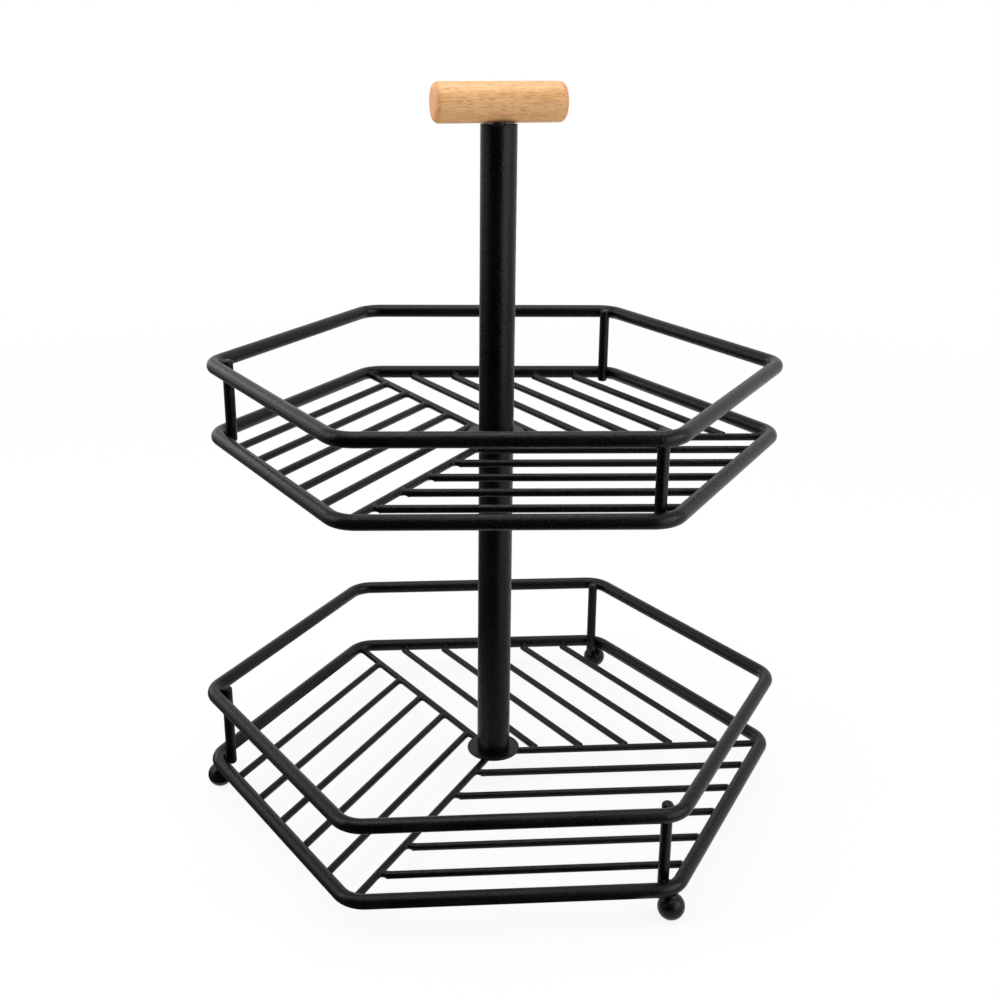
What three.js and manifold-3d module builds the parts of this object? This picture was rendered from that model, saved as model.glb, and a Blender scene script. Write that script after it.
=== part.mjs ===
// Two-tier fruit basket: two hexagonal wire trays on a screwed tube pole with a wooden crossbar handle.
// Millimetres, +Z up. The origin is on the pole's axis, at the level of the surface the basket stands on.
// The front of the basket faces -Y. Each tray has corners at 0, 60, ... 300 degrees about the axis.
import * as THREE from "three";
import { mergeVertices } from "three/addons/utils/BufferGeometryUtils.js";
import Module from "manifold-3d";

const wasm = await Module();
wasm.setup();

// Trays: corner radius is from the axis to the hexagon's unrounded corner, on the ring wire's centre line
const LOWER_CORNER_RADIUS = 150;
const UPPER_CORNER_RADIUS = 140;
const LOWER_RIM_HEIGHT = 40; // rim above base ring, centre line to centre line
const UPPER_RIM_HEIGHT = 36;
const TRAY_SPACING = 180; // upper base ring above lower base ring
const UPPER_TRAY_TURN = -2.2; // degrees about the pole, as the basket stood

// Wires
const RING_WIRE = 7;
const RING_BEND = 14; // corner bend, on the wire's centre line
const UPRIGHT_WIRE = 5.4;
const UPRIGHT_END_CHAMFER = 0.8;
const UPRIGHT_TOP_DROP = 1.2; // upright's top below the top of the rim
const FLOOR_WIRE = 3.7;
const SLATS_PER_THIRD = 5;

// Centre plates and feet
const PLATE_LEDGE = 5.3; // how far a centre plate reaches out past the pole
const PLATE_THICKNESS = 1.5;
const FOOT_DIAMETER = 13;
const FOOT_FLAT = 0.5; // depth of the flat under each ball

// Pole
const POLE_DIAMETER = 17.4;
const POLE_WALL = 1.2;
const UPPER_POLE_LENGTH = 148;
const INSERT_LENGTH = 14;

// Fasteners
const THREAD_DIAMETER = 6;
const THREAD_REACH = 12; // length of thread inside each insert
const SCREW_HEAD_DIAMETER = 11;
const SCREW_HEAD_HEIGHT = 3.3;
const SOCKET_WIDTH = 4; // hexagon socket of the base screw, across its flats
const SOCKET_DEPTH = 2;

// Handle
const HANDLE_DIAMETER = 18.6;
const HANDLE_LENGTH = 63;
const HANDLE_END_ROUND = 3;
const HANDLE_COVER = 7; // wood left above the stud
const HANDLE_TURN = 9.5; // degrees about the pole, as the basket stood

// Clearances
const SEAT_GAP = 0.3; // between pieces that are welded, clamped or seated on each other
const INSERT_GAP = 0.15; // round an insert in its tube
const THREAD_GAP = 0.3; // round a thread in its hole

// Facets
const RING_SIDES = 12;
const BEND_STEPS = 6;
const FLOOR_SIDES = 10;
const UPRIGHT_SIDES = 14;
const FASTENER_SIDES = 24;
const TUBE_SIDES = 32;
const ARC_DIVISIONS = 4; // three.js draws a quarter or half arc in twice as many lines

// Corners of a hexagon, and the names of the corners that carry spines and uprights
const HEXAGON_CORNERS = 6;
const CORNER_STEP = 360 / HEXAGON_CORNERS;
const HALF_CORNER = CORNER_STEP / 2;
const SPINES = [
  { side: "right", third: "back", degrees: 0 },
  { side: "back", third: "left", degrees: 120 },
  { side: "front", third: "front", degrees: 240 },
];
const SLAT_TURN = 120; // from a spine to the slats that start on it
const UPRIGHTS = [
  { side: "back", degrees: 60 },
  { side: "left", degrees: 180 },
  { side: "front", degrees: 300 },
];

// Sizes that follow from the ones above
const ringRadius = RING_WIRE / 2;
const floorRadius = FLOOR_WIRE / 2;
const uprightRadius = UPRIGHT_WIRE / 2;
const poleRadius = POLE_DIAMETER / 2;
const poleBore = poleRadius - POLE_WALL;
const plateRadius = poleRadius + PLATE_LEDGE;
const threadRadius = THREAD_DIAMETER / 2;
const threadHole = threadRadius + THREAD_GAP;
const insertRadius = poleBore - INSERT_GAP;
const handleRadius = HANDLE_DIAMETER / 2;

// Levels, from the ground up
const footHeight = FOOT_DIAMETER - FOOT_FLAT;
const lowerRingLevel = footHeight + SEAT_GAP + ringRadius;
const upperRingLevel = lowerRingLevel + TRAY_SPACING;
const floorDrop = ringRadius - floorRadius; // floor wires lie level with the underside of the base ring
const plateLift = FLOOR_WIRE - ringRadius + SEAT_GAP; // a plate's underside above its base ring's centre
const lowerPoleFoot = lowerRingLevel + plateLift + PLATE_THICKNESS + SEAT_GAP;
const lowerPoleTop = upperRingLevel + plateLift - SEAT_GAP;
const upperPoleFoot = upperRingLevel + plateLift + PLATE_THICKNESS + SEAT_GAP;
const upperPoleTop = upperPoleFoot + UPPER_POLE_LENGTH;
const handleLevel = upperPoleTop + SEAT_GAP + handleRadius;

const coat = new THREE.MeshStandardMaterial({ color: 0x161617, roughness: 0.55, metalness: 0.1 });
const wood = new THREE.MeshStandardMaterial({ color: 0xdcab77, roughness: 0.6, metalness: 0 });
const zinc = new THREE.MeshStandardMaterial({ color: 0x3a3b3d, roughness: 0.4, metalness: 1 });

function polar(radius, degrees, z = 0) {
  const angle = THREE.MathUtils.degToRad(degrees);
  return new THREE.Vector3(radius * Math.cos(angle), radius * Math.sin(angle), z);
}

function piece(name, geometry, material) {
  const mesh = new THREE.Mesh(geometry, material);
  mesh.name = name;
  return mesh;
}

// Turns an outline of (radius, height) points about Z. The outline runs upwards on its outer side.
function turned(outline, sides) {
  return new THREE.LatheGeometry(outline, sides).rotateX(Math.PI / 2);
}

function rectangleOutline(inner, outer, bottom, top) {
  return [
    new THREE.Vector2(inner, bottom),
    new THREE.Vector2(outer, bottom),
    new THREE.Vector2(outer, top),
    new THREE.Vector2(inner, top),
  ];
}

// A tube or washer: the outline closes on itself.
function turnedRing(inner, outer, bottom, top, sides) {
  const outline = rectangleOutline(inner, outer, bottom, top);
  return turned([...outline, outline[0]], sides);
}

// A cylinder from one point to another, with flat ends.
function rodBetween(from, to, radius, sides) {
  const along = new THREE.Vector3().subVectors(to, from);
  const rod = new THREE.CylinderGeometry(radius, radius, along.length(), sides);
  const turn = new THREE.Quaternion().setFromUnitVectors(new THREE.Vector3(0, 1, 0), along.normalize());
  const middle = new THREE.Vector3().addVectors(from, to).multiplyScalar(0.5);
  return rod.applyQuaternion(turn).translate(middle.x, middle.y, middle.z);
}

// Radius at which the wire's centre line crosses a rounded corner's bisector.
function bendRadiusFromAxis(cornerRadius) {
  const bendCentre = cornerRadius - RING_BEND / Math.cos(THREE.MathUtils.degToRad(HALF_CORNER));
  return bendCentre + RING_BEND;
}

// A hexagon of round wire, closed on itself: a circle carried round the six bends.
function wireRing(cornerRadius) {
  const bendCentre = bendRadiusFromAxis(cornerRadius) - RING_BEND;
  const positions = [];
  for (let corner = 0; corner < HEXAGON_CORNERS; corner++) {
    const centre = polar(bendCentre, corner * CORNER_STEP);
    for (let step = 0; step <= BEND_STEPS; step++) {
      const facing = corner * CORNER_STEP - HALF_CORNER + (CORNER_STEP * step) / BEND_STEPS;
      for (let side = 0; side < RING_SIDES; side++) {
        const around = (2 * Math.PI * side) / RING_SIDES;
        const out = RING_BEND + ringRadius * Math.cos(around);
        const point = polar(out, facing, ringRadius * Math.sin(around)).add(centre);
        positions.push(point.x, point.y, point.z);
      }
    }
  }
  const rounds = positions.length / 3 / RING_SIDES;
  const faces = [];
  for (let round = 0; round < rounds; round++) {
    const here = round * RING_SIDES;
    const next = ((round + 1) % rounds) * RING_SIDES;
    for (let side = 0; side < RING_SIDES; side++) {
      const beside = (side + 1) % RING_SIDES;
      faces.push(here + side, next + side, next + beside);
      faces.push(here + side, next + beside, here + beside);
    }
  }
  const ring = new THREE.BufferGeometry();
  ring.setAttribute("position", new THREE.Float32BufferAttribute(positions, 3));
  ring.setIndex(faces);
  ring.computeVertexNormals();
  return ring;
}

// An upright with chamfered ends, from the underside of the base ring to just below the top of the rim.
function upright(rimHeight) {
  const bottom = -ringRadius;
  const top = rimHeight + ringRadius - UPRIGHT_TOP_DROP;
  const chamfer = Math.min(UPRIGHT_END_CHAMFER, uprightRadius / 2);
  const outline = [
    new THREE.Vector2(0, bottom),
    new THREE.Vector2(uprightRadius - chamfer, bottom),
    new THREE.Vector2(uprightRadius, bottom + chamfer),
    new THREE.Vector2(uprightRadius, top - chamfer),
    new THREE.Vector2(uprightRadius - chamfer, top),
    new THREE.Vector2(0, top),
  ];
  return turned(outline, UPRIGHT_SIDES);
}

// One tray about its own axis, with the centre line of its base ring at z = 0.
function tray(prefix, cornerRadius, rimHeight) {
  const group = new THREE.Group();
  const bend = bendRadiusFromAxis(cornerRadius);
  const slant = THREE.MathUtils.degToRad(CORNER_STEP); // slats meet spines and ring sides at this angle
  const slatCorner = floorRadius * Math.cos(slant); // how far a square-cut end reaches past its middle
  const slatStart = (floorRadius + SEAT_GAP + slatCorner) / Math.sin(slant);
  const slatEnd = cornerRadius - (ringRadius + SEAT_GAP + slatCorner) / Math.sin(slant);
  const slatPitch = cornerRadius / (SLATS_PER_THIRD + 1);

  group.add(piece(`${prefix}_base_ring`, wireRing(cornerRadius), coat));
  const rim = piece(`${prefix}_top_rim`, wireRing(cornerRadius), coat);
  rim.position.z = rimHeight;
  group.add(rim);

  for (const { side, degrees } of UPRIGHTS) {
    const post = piece(`${prefix}_upright_${side}`, upright(rimHeight), coat);
    post.position.copy(polar(bend - ringRadius - SEAT_GAP - uprightRadius, degrees));
    group.add(post);
  }

  const bendInside = RING_BEND - ringRadius;
  const bendCrowding = bendInside - Math.sqrt(bendInside ** 2 - floorRadius ** 2);
  const spineEnd = bend - ringRadius - bendCrowding - SEAT_GAP;
  for (const { side, third, degrees } of SPINES) {
    const from = polar(poleRadius + SEAT_GAP, degrees, -floorDrop);
    const to = polar(spineEnd, degrees, -floorDrop);
    group.add(piece(`${prefix}_spine_${side}`, rodBetween(from, to, floorRadius, FLOOR_SIDES), coat));
    for (let slat = 1; slat <= SLATS_PER_THIRD; slat++) {
      const root = polar(slat * slatPitch, degrees, -floorDrop);
      const start = polar(slatStart, degrees + SLAT_TURN).add(root);
      const end = polar(slatEnd, degrees + SLAT_TURN).add(root);
      const rod = rodBetween(start, end, floorRadius, FLOOR_SIDES);
      group.add(piece(`${prefix}_slat_${third}_${slat}`, rod, coat));
    }
  }

  const plateTop = plateLift + PLATE_THICKNESS;
  const plate = turnedRing(threadHole, plateRadius, plateLift, plateTop, TUBE_SIDES);
  group.add(piece(`${prefix}_centre_plate`, plate, coat));
  return group;
}

// A ball with a small flat under it, standing on z = 0.
function ballFoot() {
  const radius = FOOT_DIAMETER / 2;
  const centre = radius - FOOT_FLAT;
  const outline = new THREE.Path();
  outline.moveTo(0, 0);
  outline.lineTo(Math.sqrt(radius ** 2 - centre ** 2), 0);
  outline.absarc(0, centre, radius, -Math.asin(centre / radius), Math.PI / 2, false);
  return turned(outline.getPoints(ARC_DIVISIONS), FASTENER_SIDES);
}

function solidOf(geometry) {
  const bare = geometry.clone();
  bare.deleteAttribute("normal");
  bare.deleteAttribute("uv");
  const merged = mergeVertices(bare);
  const vertProperties = new Float32Array(merged.getAttribute("position").array);
  const triVerts = new Uint32Array(merged.getIndex().array);
  return new wasm.Manifold(new wasm.Mesh({ numProp: 3, vertProperties, triVerts }));
}

function cut(geometry, tool) {
  const mesh = solidOf(geometry).subtract(solidOf(tool)).getMesh();
  const result = new THREE.BufferGeometry();
  result.setAttribute("position", new THREE.BufferAttribute(mesh.vertProperties, 3));
  result.setIndex(new THREE.BufferAttribute(mesh.triVerts, 1));
  result.computeVertexNormals();
  return result;
}

// The screw under the lower plate: its head's top is at z = 0, its thread points up and its socket down.
function baseScrew() {
  const headRadius = SCREW_HEAD_DIAMETER / 2;
  const threadTop = SEAT_GAP + PLATE_THICKNESS + SEAT_GAP + THREAD_REACH;
  const outline = [
    new THREE.Vector2(0, -SCREW_HEAD_HEIGHT),
    new THREE.Vector2(headRadius, -SCREW_HEAD_HEIGHT),
    new THREE.Vector2(headRadius, 0),
    new THREE.Vector2(threadRadius, 0),
    new THREE.Vector2(threadRadius, threadTop),
    new THREE.Vector2(0, threadTop),
  ];
  const socketRadius = SOCKET_WIDTH / 2 / Math.cos(Math.PI / 6);
  const socket = new THREE.CylinderGeometry(socketRadius, socketRadius, SOCKET_DEPTH * 2, 6);
  socket.rotateX(Math.PI / 2).translate(0, 0, -SCREW_HEAD_HEIGHT);
  return cut(turned(outline, FASTENER_SIDES), socket);
}

function insert() {
  return turnedRing(threadHole, insertRadius, 0, INSERT_LENGTH, TUBE_SIDES);
}

// The plug in the foot of the upper pole, with the stud that clamps the upper plate to the lower pole.
function joiningStud() {
  const studFoot = -(SEAT_GAP + PLATE_THICKNESS + SEAT_GAP + THREAD_REACH);
  const outline = [
    new THREE.Vector2(0, studFoot),
    new THREE.Vector2(threadRadius, studFoot),
    new THREE.Vector2(threadRadius, 0),
    new THREE.Vector2(insertRadius, 0),
    new THREE.Vector2(insertRadius, INSERT_LENGTH),
    new THREE.Vector2(0, INSERT_LENGTH),
  ];
  return turned(outline, TUBE_SIDES);
}

function pole(foot, top) {
  return turnedRing(poleBore, poleRadius, foot, top, TUBE_SIDES);
}

// The crossbar along X about z = 0, with a blind hole up into it for its stud.
const studTip = handleRadius - HANDLE_COVER;
function crossbar() {
  const half = HANDLE_LENGTH / 2;
  const round = HANDLE_END_ROUND;
  const outline = new THREE.Path();
  outline.moveTo(0, -half);
  outline.lineTo(handleRadius - round, -half);
  outline.absarc(handleRadius - round, -half + round, round, -Math.PI / 2, 0, false);
  outline.lineTo(handleRadius, half - round);
  outline.absarc(handleRadius - round, half - round, round, 0, Math.PI / 2, false);
  outline.lineTo(0, half);
  const bar = turned(outline.getPoints(ARC_DIVISIONS), TUBE_SIDES).rotateY(Math.PI / 2);
  const holeTop = studTip + SEAT_GAP;
  const holeBottom = -HANDLE_DIAMETER;
  const hole = turned(rectangleOutline(0, threadHole, holeBottom, holeTop), FASTENER_SIDES);
  return cut(bar, hole);
}

function handleStud() {
  const foot = -handleRadius - SEAT_GAP - THREAD_REACH;
  return turned(rectangleOutline(0, threadRadius, foot, studTip), FASTENER_SIDES);
}

const basket = new THREE.Group();

const lowerTray = tray("lower", LOWER_CORNER_RADIUS, LOWER_RIM_HEIGHT);
lowerTray.position.z = lowerRingLevel;
basket.add(lowerTray);

const upperTray = tray("upper", UPPER_CORNER_RADIUS, UPPER_RIM_HEIGHT);
upperTray.position.z = upperRingLevel;
upperTray.rotation.z = THREE.MathUtils.degToRad(UPPER_TRAY_TURN);
basket.add(upperTray);

for (const { side, degrees } of UPRIGHTS) {
  const foot = piece(`foot_${side}`, ballFoot(), coat);
  foot.position.copy(polar(bendRadiusFromAxis(LOWER_CORNER_RADIUS), degrees));
  basket.add(foot);
}

basket.add(piece("lower_pole", pole(lowerPoleFoot, lowerPoleTop), coat));
basket.add(piece("upper_pole", pole(upperPoleFoot, upperPoleTop), coat));

const screw = piece("base_screw", baseScrew(), zinc);
screw.position.z = lowerRingLevel + plateLift - SEAT_GAP;
basket.add(screw);

const insertFeet = {
  lower_pole_foot_insert: lowerPoleFoot,
  lower_pole_top_insert: lowerPoleTop - INSERT_LENGTH,
  upper_pole_top_insert: upperPoleTop - INSERT_LENGTH,
};
for (const [name, level] of Object.entries(insertFeet)) {
  const nut = piece(name, insert(), zinc);
  nut.position.z = level;
  basket.add(nut);
}

const stud = piece("joining_stud", joiningStud(), zinc);
stud.position.z = upperPoleFoot;
basket.add(stud);

const handle = new THREE.Group();
handle.position.z = handleLevel;
handle.rotation.z = THREE.MathUtils.degToRad(HANDLE_TURN);
handle.add(piece("handle", crossbar(), wood));
handle.add(piece("handle_stud", handleStud(), zinc));
basket.add(handle);

export default basket;
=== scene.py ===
# %% [markdown]
# # A two-tier wire fruit basket
# Two hexagonal trays of bent and welded wire sit one above the other on a tube pole, with a beech crossbar
# as the handle. The packed solids are the fixed frame. Most pieces below take the place of some of them, in
# metres and at the same place, and ride on the same moving body. The welds are added, and six small metal
# solids stay.

# %% Load the packed frame
import math

import bpy
import numpy as np
from mathutils import Matrix, Vector


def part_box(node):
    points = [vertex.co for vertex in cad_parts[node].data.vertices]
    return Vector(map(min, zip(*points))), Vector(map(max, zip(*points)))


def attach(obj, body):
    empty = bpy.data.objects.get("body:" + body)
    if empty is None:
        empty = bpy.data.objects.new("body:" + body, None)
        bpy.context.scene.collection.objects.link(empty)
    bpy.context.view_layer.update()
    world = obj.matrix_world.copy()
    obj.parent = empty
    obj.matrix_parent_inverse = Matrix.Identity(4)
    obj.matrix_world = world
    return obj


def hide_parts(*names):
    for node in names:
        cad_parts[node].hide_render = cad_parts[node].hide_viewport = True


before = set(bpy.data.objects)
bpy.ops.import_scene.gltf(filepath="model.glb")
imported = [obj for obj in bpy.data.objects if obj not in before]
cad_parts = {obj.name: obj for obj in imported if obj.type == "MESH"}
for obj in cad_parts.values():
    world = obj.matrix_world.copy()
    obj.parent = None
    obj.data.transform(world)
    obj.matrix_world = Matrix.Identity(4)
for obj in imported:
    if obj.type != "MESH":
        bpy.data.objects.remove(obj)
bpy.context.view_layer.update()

scene = bpy.context.scene
MM = 0.001

# %% [markdown]
# ## Writing node trees as sums
# Finishes and repeated wires are both node trees. Clicking them together by hand leaves no record, so one
# small class wraps an output socket, and adding or multiplying such links adds the Math nodes. One method
# makes every other node from its type, its settings and the values of its sockets.


# %% A link is an output socket that can be used in a sum
class Link:
    """An output of a node tree. A sum with it adds Math nodes to the same tree."""

    def __init__(self, recipe, socket):
        self.recipe = recipe
        self.socket = socket

    def other(self, name):
        return Link(self.recipe, self.socket.node.outputs[name])

    def math(self, operation, first, second=0.0):
        sockets = {"Value": first, "Value_001": second}
        return self.recipe.step("ShaderNodeMath", {"operation": operation}, sockets)

    def __add__(self, number):
        return self.math("ADD", self, number)

    def __radd__(self, number):
        return self.math("ADD", number, self)

    def __sub__(self, number):
        return self.math("SUBTRACT", self, number)

    def __rsub__(self, number):
        return self.math("SUBTRACT", number, self)

    def __mul__(self, number):
        return self.math("MULTIPLY", self, number)

    def __rmul__(self, number):
        return self.math("MULTIPLY", number, self)

    def __truediv__(self, number):
        return self.math("DIVIDE", self, number)

    def __rtruediv__(self, number):
        return self.math("DIVIDE", number, self)

    def __pow__(self, number):
        return self.math("POWER", self, number)

    def highest(self, number):
        return self.math("MAXIMUM", self, number)

    def lowest(self, number):
        return self.math("MINIMUM", self, number)


print("a link:", Link.__doc__)


# %% A recipe is a node tree with one way to add a node
class Recipe:
    """A node tree that is being written."""

    def __init__(self, tree):
        self.tree = tree

    def step(self, kind, settings=None, sockets=None, out=0):
        """Adds a node. A socket is found by its identifier or, failing that, by its name."""
        node = self.tree.nodes.new(kind)
        for name, value in (settings or {}).items():
            setattr(node, name, value)
        found = {socket.name: socket for socket in reversed(node.inputs)}
        found.update({socket.identifier: socket for socket in node.inputs})
        for name, value in (sockets or {}).items():
            if isinstance(value, Link):
                self.tree.links.new(value.socket, found[name])
            else:
                found[name].default_value = value
        return Link(self, node.outputs[out]) if node.outputs else None

    def mixed(self, share, first, second):
        sockets = {"Factor_Float": share, "A_Color": first, "B_Color": second}
        return self.step("ShaderNodeMix", {"data_type": "RGBA"}, sockets, 2)

    def noise(self, where, scale, detail=2.0, roughness=0.5):
        sockets = {"Vector": where, "Scale": scale, "Detail": detail, "Roughness": roughness}
        return self.step("ShaderNodeTexNoise", None, sockets, "Fac")

    def ramp(self, value, low, high):
        sockets = {"Value": value, "From Min": low, "From Max": high}
        return self.step("ShaderNodeMapRange", {"interpolation_type": "SMOOTHSTEP"}, sockets)


def new_finish(name):
    material = bpy.data.materials.new(name)
    material.use_nodes = True
    material.node_tree.nodes.clear()
    return material, Recipe(material.node_tree)


def close_finish(recipe, sockets):
    surface = recipe.step("ShaderNodeBsdfPrincipled", None, sockets)
    recipe.step("ShaderNodeOutputMaterial", None, {"Surface": surface})


print("a recipe:", Recipe.__doc__)

# %% [markdown]
# ## Black powder coat
# The whole frame is coated in black powder that melts into a satin skin. It is never quite smooth: a fine
# grain of under a millimetre sits on a softer orange-peel wave, and both break up the reflections. A plain
# black with low roughness would look like plastic, so the grain goes into bump and roughness, and the tone
# drifts a little.

# %% Powder coat finish
NOISE_MIDDLE = 0.5
MAIN_SHARE = 0.6
SIDE_SHARE = 0.4
COAT_DEEP = (0.0008, 0.0008, 0.0009, 1)
COAT_PALE = (0.0028, 0.0028, 0.0030, 1)
COAT_TONES = (0.35, 0.65)
COAT_GRAIN_PER_M = 1250
COAT_WAVE_PER_M = 330
COAT_DRIFT_PER_M = 28
COAT_DEPTH = 0.24 * MM
COAT_ROUGHNESS = 0.31
COAT_GRAIN_ROUGHNESS = 0.24
COAT_DRIFT_ROUGHNESS = 0.12
COAT_SHINE = 0.16


def powder_coat():
    material, recipe = new_finish("black_powder_coat")
    where = recipe.step("ShaderNodeTexCoord", out="Object")
    grain = recipe.noise(where, COAT_GRAIN_PER_M, detail=1.0)
    wave = recipe.noise(where, COAT_WAVE_PER_M, detail=1.0)
    drift = recipe.noise(where, COAT_DRIFT_PER_M)
    tone = recipe.ramp(drift * MAIN_SHARE + grain * SIDE_SHARE, *COAT_TONES)
    height = grain * MAIN_SHARE + wave * SIDE_SHARE
    rough_grain = (grain - NOISE_MIDDLE) * COAT_GRAIN_ROUGHNESS
    rough_drift = (drift - NOISE_MIDDLE) * COAT_DRIFT_ROUGHNESS
    bump = {"Strength": 1.0, "Distance": COAT_DEPTH, "Height": height}
    close_finish(recipe, {
        "Base Color": recipe.mixed(tone, COAT_DEEP, COAT_PALE),
        "Roughness": COAT_ROUGHNESS + rough_grain + rough_drift,
        "Specular IOR Level": COAT_SHINE,
        "Normal": recipe.step("ShaderNodeBump", None, bump),
    })
    return material


coat = powder_coat()
print(coat.name, "has", len(coat.node_tree.nodes), "nodes")

# %% [markdown]
# ## Beech
# The crossbar is turned from beech: pale tan, a little pink, with faint growth rings and many short dark
# flecks that lie along the grain. A picture of wood would not line up at the ends, so the rings are a solid
# pattern: arcs round a pith line outside the bar, which show as lines along it and as diagonal arcs on the
# cut ends. The flecks are long thin cells, and only some of them are filled.

# %% Beech flecks
FLECK_LENGTH = 5.0 * MM
FLECK_WIDTH = 0.5 * MM
FLECK_EDGE = (0.20, 0.44)
FLECK_DRAW_EDGE = 0.02


def flecks(recipe, where, shift, share):
    """Dark cells along X, of which the given share is filled."""
    sizes = (1 / FLECK_LENGTH, 1 / FLECK_WIDTH, 1 / FLECK_WIDTH)
    cells = recipe.step("ShaderNodeMapping", None, {"Vector": where, "Scale": sizes, "Location": shift})
    spot = recipe.step("ShaderNodeTexVoronoi", None, {"Vector": cells, "Scale": 1.0}, "Distance")
    draw = recipe.step("ShaderNodeSeparateColor", None, {"Color": spot.other("Color")})
    filled = recipe.ramp(draw, 1 - share, 1 - share + FLECK_DRAW_EDGE)
    return (1 - recipe.ramp(spot, *FLECK_EDGE)) * filled


print("flecks, mm:", round(FLECK_LENGTH / MM, 2), "by", round(FLECK_WIDTH / MM, 2))

# %% Beech rings and wavy grain
YEAR_RING_SPACING = 1.9 * MM
PITH = (-24 * MM, -19 * MM)
LATE_WOOD_POWER = 4
SWAY_PER_M = 260
SWAY_DEPTH = 1.6 * MM
WANDER_PER_M = 130.0
WANDER_DEPTH = 2.4 * MM


def late_wood(recipe, place, stretched):
    """The thin dark last part of each year's ring, by the distance from the pith line."""
    sway = (recipe.noise(stretched, SWAY_PER_M) - NOISE_MIDDLE) * SWAY_DEPTH
    side = place.other("Y") - PITH[0]
    lift = place.other("Z") - PITH[1]
    from_pith = (side * side + lift * lift) ** 0.5 + sway
    phase = from_pith / YEAR_RING_SPACING
    return phase.math("FRACT", phase) ** LATE_WOOD_POWER


def waved_grain(recipe, along, stretched):
    """The stretched place, pushed to and fro across the grain."""
    bends = {"Vector": along, "Scale": WANDER_PER_M, "Detail": 1.0}
    wander = recipe.step("ShaderNodeTexNoise", None, bends, "Color")
    return recipe.step("ShaderNodeVectorMath", {"operation": "MULTIPLY_ADD"}, {
        "Vector": wander,
        "Vector_001": (0, WANDER_DEPTH, WANDER_DEPTH),
        "Vector_002": stretched,
    })


print("year ring spacing, mm:", round(YEAR_RING_SPACING / MM, 2))

# %% Beech finish
HANDLE_TURN = math.radians(9.5)
HANDLE_HEIGHT = 356.2 * MM
HANDLE_LENGTH = 63 * MM
HANDLE_ROUND = 3 * MM
CUT_DEPTHS = (0.5 * HANDLE_ROUND, 1.1 * HANDLE_ROUND)
ALONG_THE_BAR = (0.07, 1, 1)
BEECH_PALE = (0.85, 0.512, 0.218, 1)
BEECH_WARM = (0.61, 0.275, 0.098, 1)
BEECH_CUT = (0.80, 0.368, 0.146, 1)
BEECH_FLECK = (0.34, 0.145, 0.048, 1)
STREAK_PER_M = 1900
CLOUD_PER_M = 330
WARM_BY = {"streak": 0.68, "cloud": 0.32, "late": 0.06}
WARM_RANGE = (0.31, 0.74)
END_DARK_BY = {"late": 0.42, "warm": 0.3}
STRONG_FLECKS = 0.24
FAINT_FLECKS = 0.5
FAINT_STRENGTH = 0.4
FAINT_SHIFT = (3.7, 9.1, 5.3)
FLECK_STRENGTH = 0.7
BEECH_RELIEF = {"streak": 0.5, "fleck": 0.8}
BEECH_BUMP = 0.35
BEECH_DEPTH = 0.12 * MM
BEECH_ROUGHNESS = 0.46
BEECH_ROUGH_BY = {"fleck": 0.14, "streak": 0.12}
BEECH_SHINE = 0.5


def beech():
    material, recipe = new_finish("oiled_beech")
    where = recipe.step("ShaderNodeTexCoord", out="Object")
    turned = {"Vector": where, "Rotation": (0, 0, -HANDLE_TURN), "Location": (0, 0, -HANDLE_HEIGHT)}
    along = recipe.step("ShaderNodeMapping", None, turned)
    stretched = recipe.step("ShaderNodeMapping", None, {"Vector": along, "Scale": ALONG_THE_BAR})
    place = recipe.step("ShaderNodeSeparateXYZ", None, {"Vector": along})
    late = late_wood(recipe, place, stretched)
    from_end = HANDLE_LENGTH / 2 - place.math("ABSOLUTE", place)
    cut = 1 - recipe.ramp(from_end, *CUT_DEPTHS)
    waved = waved_grain(recipe, along, stretched)
    streak = recipe.noise(waved, STREAK_PER_M, detail=3.0, roughness=0.6)
    cloud = recipe.noise(waved, CLOUD_PER_M)
    warmth = streak * WARM_BY["streak"] + cloud * WARM_BY["cloud"] + late * WARM_BY["late"]
    warm = recipe.ramp(warmth, *WARM_RANGE)
    strong = flecks(recipe, along, (0, 0, 0), STRONG_FLECKS)
    faint = flecks(recipe, along, FAINT_SHIFT, FAINT_FLECKS) * FAINT_STRENGTH
    fleck = strong.highest(faint)
    end_dark = late * END_DARK_BY["late"] + warm * END_DARK_BY["warm"]
    side_wood = recipe.mixed(warm, BEECH_PALE, BEECH_WARM)
    end_wood = recipe.mixed(end_dark, BEECH_CUT, BEECH_FLECK)
    bare_wood = recipe.mixed(cut, side_wood, end_wood)
    height = streak * BEECH_RELIEF["streak"] - fleck * BEECH_RELIEF["fleck"]
    bump = {"Strength": BEECH_BUMP, "Distance": BEECH_DEPTH, "Height": height}
    rough_fleck = fleck * BEECH_ROUGH_BY["fleck"]
    rough_streak = (streak - NOISE_MIDDLE) * BEECH_ROUGH_BY["streak"]
    close_finish(recipe, {
        "Base Color": recipe.mixed(fleck * FLECK_STRENGTH, bare_wood, BEECH_FLECK),
        "Roughness": BEECH_ROUGHNESS + rough_fleck + rough_streak,
        "Specular IOR Level": BEECH_SHINE,
        "Normal": recipe.step("ShaderNodeBump", None, bump),
    })
    return material


wood = beech()
print(wood.name, "has", len(wood.node_tree.nodes), "nodes")
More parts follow.
